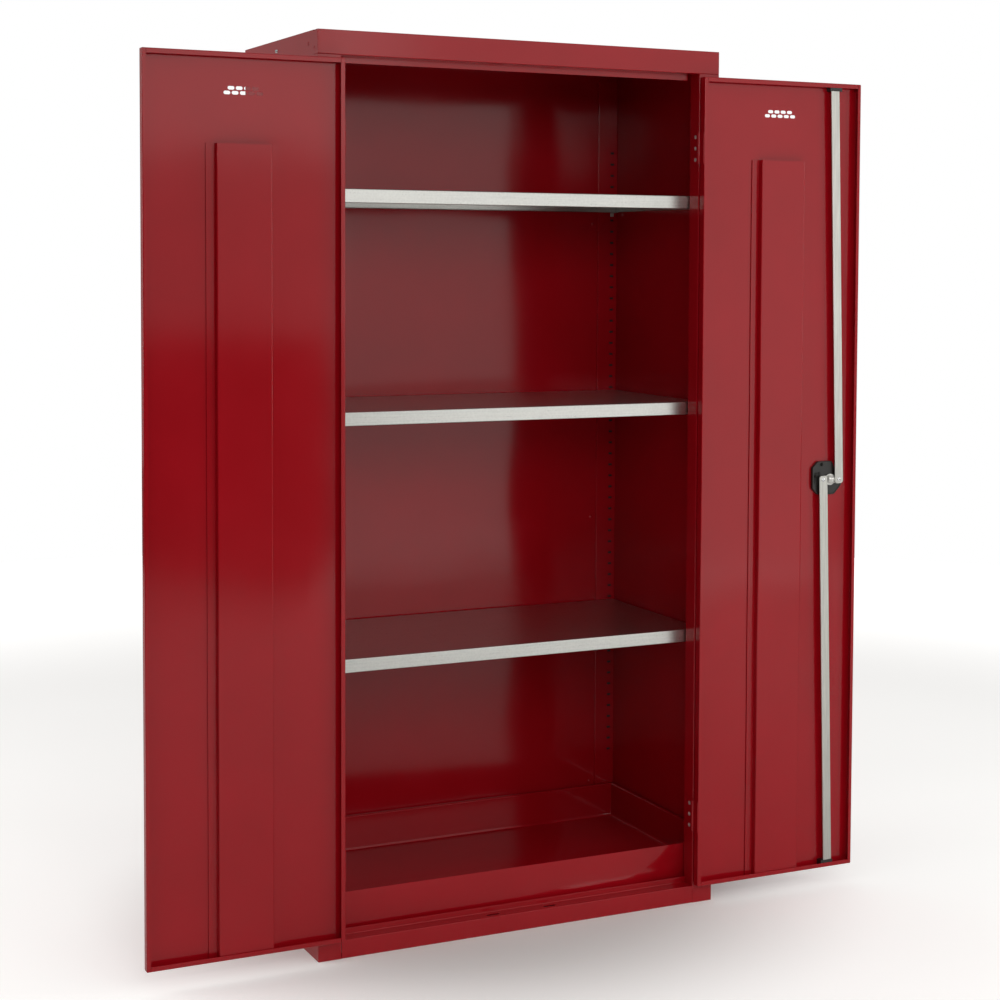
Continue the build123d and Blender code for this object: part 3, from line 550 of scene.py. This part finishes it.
# ---------------------------------------------------------------------------
# Spill sump: a liquid-tight pan welded from 1.2 mm sheet, low at the front so that
# spills can be seen, its sides and rear turned out over the walls. It lifts out.
# ---------------------------------------------------------------------------
SUMP_X = 437
SUMP_FRONT = -188
SUMP_BACK = 211
SUMP_FOOT = 37.2
SUMP_LOW = 119.5
SUMP_HIGH = 150
SUMP_LEDGE = 8.6
SUMP_SHEET = 1.2
BASIN_Z = 75
BASIN_INSET = 1.4
BASIN_LIP = 5
BASIN_SHEET = 1.1
BASIN_SAG = 1.4 * MM
bm = bmesh.new()
bmesh.ops.create_grid(bm, x_segments=1, y_segments=1, size=0.5)
size = Vector((2 * SUMP_X, SUMP_BACK - SUMP_FRONT, 1)) * MM
bmesh.ops.scale(bm, verts=bm.verts, vec=size)
middle = Vector((0, (SUMP_FRONT + SUMP_BACK) / 2, SUMP_FOOT)) * MM
bmesh.ops.translate(bm, verts=bm.verts, vec=middle)
fold(bm, bm.edges[:], (0, 0, SUMP_LOW - SUMP_FOOT))
bmesh.ops.delete(bm, geom=[f for f in bm.faces if abs(f.normal.z) > 0.9], context="FACES")
fold(bm, edges_at(bm, y=SUMP_FRONT, z=SUMP_LOW), (0, 2.4, 0), (0, 0, -14))
raised = [e for x in (-SUMP_X, SUMP_X) for e in edges_at(bm, x=x, z=SUMP_LOW)]
raised += edges_at(bm, y=SUMP_BACK, z=SUMP_LOW)
fold(bm, raised, (0, 0, SUMP_HIGH - SUMP_LOW))
ledges = fold(bm, edges_at(bm, y=SUMP_BACK, z=SUMP_HIGH), (0, SUMP_LEDGE, 0))
for sign in (-1, 1):
    outer = edges_at(bm, x=sign * SUMP_X, z=SUMP_HIGH)
    ledges += fold(bm, outer, (sign * SUMP_LEDGE, 0, 0))
bend(bm, ledges, FOLD_R)
for x in (-SUMP_X, SUMP_X):
    bend(bm, edges_at(bm, x=x, y=SUMP_BACK), 2.0)
bmesh.ops.reverse_faces(bm, faces=bm.faces)
walls = finished("spill_sump_walls", bm, "sump", "red_powder_coat", powder, "spill_sump")
sheet_metal(walls, SUMP_SHEET, -1)

bm = bmesh.new()
bmesh.ops.create_grid(bm, x_segments=26, y_segments=12, size=0.5)
size = Vector((2 * (SUMP_X - BASIN_INSET), SUMP_BACK - SUMP_FRONT - 2 * BASIN_INSET, 1)) * MM
bmesh.ops.scale(bm, verts=bm.verts, vec=size)
middle = Vector((0, (SUMP_FRONT + SUMP_BACK) / 2, BASIN_Z)) * MM
bmesh.ops.translate(bm, verts=bm.verts, vec=middle)
rim = [e for e in bm.edges if e.is_boundary]
for v in bm.verts:
    if not v.is_boundary:
        v.co.z += BASIN_SAG * (noise.noise(v.co / BUCKLE) - 0.5)
bend(bm, fold(bm, rim, (0, 0, BASIN_LIP)), 3.0)
basin = finished("spill_sump_floor", bm, "sump", "red_powder_coat", powder, "spill_sump")
sheet_metal(basin, BASIN_SHEET, -1)

# ---------------------------------------------------------------------------
# Doors: pans folded on four sides, vented near the top, each with a hat section spot
# welded inside that swells with the skin it stiffens.
# ---------------------------------------------------------------------------
DOOR_SWELL = 1.3 * MM
SKIN_Y = -235.6 * MM
HAT_Y = -243 * MM
for side, sign in (("left", -1), ("right", 1)):
    pan = f"{side}_door_pan"
    door = f"{side}_door"
    vents = (sign * 600 * MM, SKIN_Y, 1704 * MM)
    buckled(pan, door, 1, SKIN_Y, 1.4 * MM, DOOR_SWELL, stiff=vents)
    buckled(f"{side}_door_stiffener", door, 1, HAT_Y, 12 * MM, DOOR_SWELL, like=pan)

# ---------------------------------------------------------------------------
# Butt hinges: leaves curled round a steel pin. The frame leaf is screwed to the jamb and
# the door leaf welded in, and all but the pin and screws are painted with the cabinet.
# ---------------------------------------------------------------------------
LEAF_EDGE = 0.25


def eased(name, body, slot, finish, width):
    """A CAD node with its sharp edges broken, width in millimetres."""
    bm = merged(name)
    bmesh.ops.dissolve_limit(bm, angle_limit=math.radians(1), verts=bm.verts, edges=bm.edges)
    sharp = [
        e for e in bm.edges
        if len(e.link_faces) == 2 and e.calc_face_angle() > math.radians(35)
    ]
    bmesh.ops.bevel(
        bm, geom=sharp, offset=width * MM, segments=2, affect="EDGES", profile=0.5,
        material=-1, clamp_overlap=True,
    )
    flat_faces(finished(f"{name}_eased", bm, body, slot, finish, name, crease=50))


for side in ("left", "right"):
    for place in ("upper", "lower"):
        leaf = f"{side}_{place}"
        eased(f"{leaf}_frame_leaf", "cabinet", "red_powder_coat", powder, LEAF_EDGE)
        eased(f"{leaf}_door_leaf", f"{side}_door", "red_powder_coat", powder, LEAF_EDGE)
coat(zinc, "left_hinge_pins", "right_hinge_pins")

CROSS = (0.94, 0.94, 0.36, 0.36, 0.36, 0.94)
RECESS_TAPER = 0.8


def recessed(bm, profile, place, toward, depth):
    """A screw turned from a profile that starts at the open middle of its head, which a
    cross recess closes, depth in millimetres. CROSS says how far the recess reaches at
    each 15 degrees."""
    made = set(turned(bm, profile, place, toward))
    middle = Vector(place) * MM
    away = Vector(toward)
    mouth = [e for e in bm.edges if e.is_boundary and e.verts[0] in made]
    for shrink, drop in ((None, 0), (RECESS_TAPER, depth)):
        grown = bmesh.ops.extrude_edge_only(bm, edges=mouth)["geom"]
        ring = {g for g in grown if isinstance(g, bmesh.types.BMVert)}
        spokes = away.orthogonal().normalized()
        for v in ring:
            reach = v.co - middle
            lift = away * reach.dot(away)
            spread = reach - lift
            turn = round(math.degrees(spread.angle(spokes)) / 15) % 6
            v.co = middle + lift + spread * (shrink or CROSS[turn]) - away * drop * MM
        mouth = [e for e in bm.edges if e.is_boundary and e.verts[0] in ring and e.verts[1] in ring]
    bmesh.ops.edgeloop_fill(bm, edges=mouth)


HINGE_SCREW = (
    (2.3, 0.4), (3.4, 0.4), (4.0, 0.2), (4.2, -0.1), (4.2, -1.1), (2.4, -1.6), (2.4, -11),
    (0, -11.6),
)
LEAF_FACE = 400.3
SCREW_Y = -217
SCREW_PITCH = 24
for side, sign in (("left", -1), ("right", 1)):
    bm = bmesh.new()
    for hinge_z in (192, 1625):
        for step in (-1, 0, 1):
            place = (sign * LEAF_FACE, SCREW_Y, hinge_z + step * SCREW_PITCH)
            recessed(bm, HINGE_SCREW, place, (-sign, 0, 0), 1.0)
    finished(
        f"{side}_hinge_cross_screws", bm, "cabinet", "zinc_plate", passivated,
        f"{side}_hinge_screws", crease=30,
    )

# ---------------------------------------------------------------------------
# Lock case: moulded black nylon with a ribbed border, screwed inside the right door. The
# escutcheon outside and the rod guides are of the same moulding.
# ---------------------------------------------------------------------------
GRAIN = 0.9 * MM
GRAIN_DEPTH = 0.2 * MM
LOCK_X = 734.7
LOCK_Z = 907.0
CASE_BACK = -236.2
CASE_DEEP = 7.3
CASE_FACE = -243.4
CORNER_R = 3.5
RIM_R = 1.2
RIM_W = 0.9
SINK = 0.8
RIBS = 5
RIB_PITCH = 3.6
# Moulded nylon 6: near black, lightly grained, with a satin gloss.
nylon, tree = material("black_moulded_nylon")
where = node(tree, "TexCoord").outputs["Object"]
grain = node(tree, "TexNoise", Vector=where, Scale=1 / GRAIN, Detail=2.0)
tone = node(tree, "ValToRGB", ramp=[(0.3, "#1c1b19"), (0.7, "#262421")], Fac=grain.outputs["Fac"])
pits = node(tree, "Bump", Height=grain.outputs["Fac"], Strength=0.2, Distance=GRAIN_DEPTH)
surface(tree, node(
    tree, "BsdfPrincipled",
    Base_Color=tone.outputs["Color"], Roughness=0.3, IOR=1.53, Normal=pits.outputs["Normal"],
))

CASE = ((-44.2, -19), (-44.2, 26), (-30, 40.5), (6, 40.5), (32.5, -12), (13, -33.5), (-30, -33.5))
bm = bmesh.new()
outline = [
    bm.verts.new(((LOCK_X + x) * MM, CASE_BACK * MM, (LOCK_Z + z) * MM)) for x, z in CASE
]
base = bm.faces.new(outline)
grown = bmesh.ops.extrude_face_region(bm, geom=[base])["geom"]
far = [g for g in grown if isinstance(g, bmesh.types.BMVert)]
bmesh.ops.translate(bm, verts=far, vec=(0, -CASE_DEEP * MM, 0))
bmesh.ops.recalc_face_normals(bm, faces=bm.faces)
corners = [e for e in bm.edges if abs(e.verts[0].co.y - e.verts[1].co.y) > MM]
bmesh.ops.bevel(
    bm, geom=corners, offset=CORNER_R * MM, segments=4, affect="EDGES", profile=0.5,
    material=-1,
)
rim = [e for e in bm.edges if all(v.co.y < CASE_FACE * MM for v in e.verts)]
bmesh.ops.bevel(
    bm, geom=rim, offset=RIM_R * MM, segments=3, affect="EDGES", profile=0.5, material=-1,
)
lid = [f for f in bm.faces if f.normal.y < -0.999]
for width, depth in ((RIM_W, 0), (0.5, -SINK)):
    bmesh.ops.inset_region(
        bm, faces=lid, thickness=width * MM, depth=depth * MM, use_even_offset=True,
    )
for i in range(RIBS):
    rib = bmesh.ops.create_cube(bm, size=1)["verts"]
    bmesh.ops.scale(bm, verts=rib, vec=Vector((1.6, 1.4, 24 - 2 * i)) * MM)
    place = Vector((LOCK_X - 38.5 + RIB_PITCH * i, CASE_FACE, LOCK_Z + 4 + 1.5 * i)) * MM
    bmesh.ops.translate(bm, verts=rib, vec=place)
    ridges = {e for v in rib for e in v.link_edges}
    bmesh.ops.bevel(
        bm, geom=list(ridges), offset=0.4 * MM, segments=2, affect="EDGES", profile=0.5,
        material=-1,
    )
flat_faces(finished("lock_case", bm, "right_door", "black_plastic", nylon, "lock_housing"))

# Oxide black on steel: dark, with a dull metal shine.
blackened, tree = material("blackened_steel_screw")
where = node(tree, "TexCoord").outputs["Object"]
soot = node(tree, "TexNoise", Vector=where, Scale=1 / GRAIN, Detail=2.0)
tone = node(tree, "ValToRGB", ramp=[(0.3, "#1b1a19"), (0.7, "#2a2826")], Fac=soot.outputs["Fac"])
surface(tree, node(
    tree, "BsdfPrincipled", Base_Color=tone.outputs["Color"], Roughness=0.35, Metallic=0.7,
))
PAN_SCREW = (
    (1.7, 1.7), (2.2, 1.65), (2.9, 1.2), (3.3, 0.5), (3.4, 0), (1.8, 0), (1.8, -7.5), (0, -8),
)
PAN_SCREW_Y = -244.3
bm = bmesh.new()
for x, z in ((-36, 8), (-20, -26), (-20, 33)):
    recessed(bm, PAN_SCREW, (LOCK_X + x, PAN_SCREW_Y, LOCK_Z + z), (0, -1, 0), 1.1)
finished(
    "lock_case_pan_screws", bm, "right_door", "zinc_plate", blackened, "housing_screws",
    crease=30,
)
GUIDE_EDGE = 0.15
for place in ("upper", "lower"):
    eased(f"{place}_rod_guide", "right_door", "black_plastic", nylon, GUIDE_EDGE)
coat(nylon, "lock_escutcheon")

# ---------------------------------------------------------------------------
# Handle and cam: a moulded lever on a square-ended spindle that turns a steel cam. The
# rods hang on the cam's two pins, and a domed screw holds the cam.
# ---------------------------------------------------------------------------
coat(nylon, "door_handle")
coat(zinc, "lock_spindle")
CAM_EDGE = 0.35
CAM_FACE = -246.9
ROD_FACE = -251.1
CRANK = 20.5
eased("lock_cam", "lock_handle", "zinc_plate", passivated, CAM_EDGE)
DOME = (
    (1.6, 8.9), (3.2, 8.6), (5.4, 7.6), (7.4, 6.2), (8.7, 5.0), (9.0, 4.5), (8.6, 4.45),
    (6.2, 4.4), (6.2, 0.8), (8.3, 0.8), (8.5, 0.6), (8.5, 0.0), (0, 0),
)
bm = bmesh.new()
recessed(bm, DOME, (LOCK_X, CAM_FACE, LOCK_Z), (0, -1, 0), 1.2)
finished("cam_dome_screw", bm, "lock_handle", "zinc_plate", passivated, "cam_screw", crease=30)
PIN = (
    (0, 1.2), (2.4, 1.15), (3.9, 0.8), (4.6, 0.25), (4.6, 0), (3.0, 0), (3.0, -6.6), (0, -6.6),
)
bm = bmesh.new()
for x in (-CRANK, CRANK):
    turned(bm, PIN, (LOCK_X + x, ROD_FACE, LOCK_Z), (0, -1, 0))
finished("rod_rivet_pins", bm, "lock_handle", "zinc_plate", zinc, "rod_pins", crease=30)

# ---------------------------------------------------------------------------
# Lock rods: flat bars of drawn steel, each hung on a pin of the cam. Turning the handle
# pushes them through the guides, into the slots of the fascia and the sill.
# ---------------------------------------------------------------------------
LINE = 1.4 * MM
ROD_EDGE = 0.5
# Cold-drawn steel, zinc plated: pale, with fine draw lines along the bar.
drawn, tree = material("cold_drawn_steel")
where = node(tree, "TexCoord").outputs["Object"]
along = node(tree, "Mapping", Vector=where, Scale=(1, 1, 0.02))
lines = node(tree, "TexNoise", Vector=along.outputs["Vector"], Scale=1 / LINE, Detail=3.0)
tone = node(tree, "ValToRGB", ramp=[(0.3, "#babab5"), (0.7, "#d2d2cc")], Fac=lines.outputs["Fac"])
gloss = node(tree, "MapRange", Value=lines.outputs["Fac"], To_Min=0.26, To_Max=0.4)
surface(tree, node(
    tree, "BsdfPrincipled",
    Base_Color=tone.outputs["Color"], Roughness=gloss.outputs["Result"], Metallic=1.0,
))
for place in ("upper", "lower"):
    eased(f"{place}_lock_rod", f"{place}_rod", "bright_steel", drawn, ROD_EDGE)

# ---------------------------------------------------------------------------
# Key cylinder: a brass plug that turns in the escutcheon above the handle, and locks the
# handle with a quarter turn.
# ---------------------------------------------------------------------------
# Nickel plate over brass: bright, slightly warm.
nickel, tree = material("nickel_plated_brass")
where = node(tree, "TexCoord").outputs["Object"]
haze = node(tree, "TexNoise", Vector=where, Scale=1 / CLOUD)
tone = node(tree, "ValToRGB", ramp=[(0.3, "#c8c3b8"), (0.7, "#dad6cc")], Fac=haze.outputs["Fac"])
surface(tree, node(
    tree, "BsdfPrincipled", Base_Color=tone.outputs["Color"], Roughness=0.2, Metallic=1.0,
))
coat(nickel, "lock_cylinder")
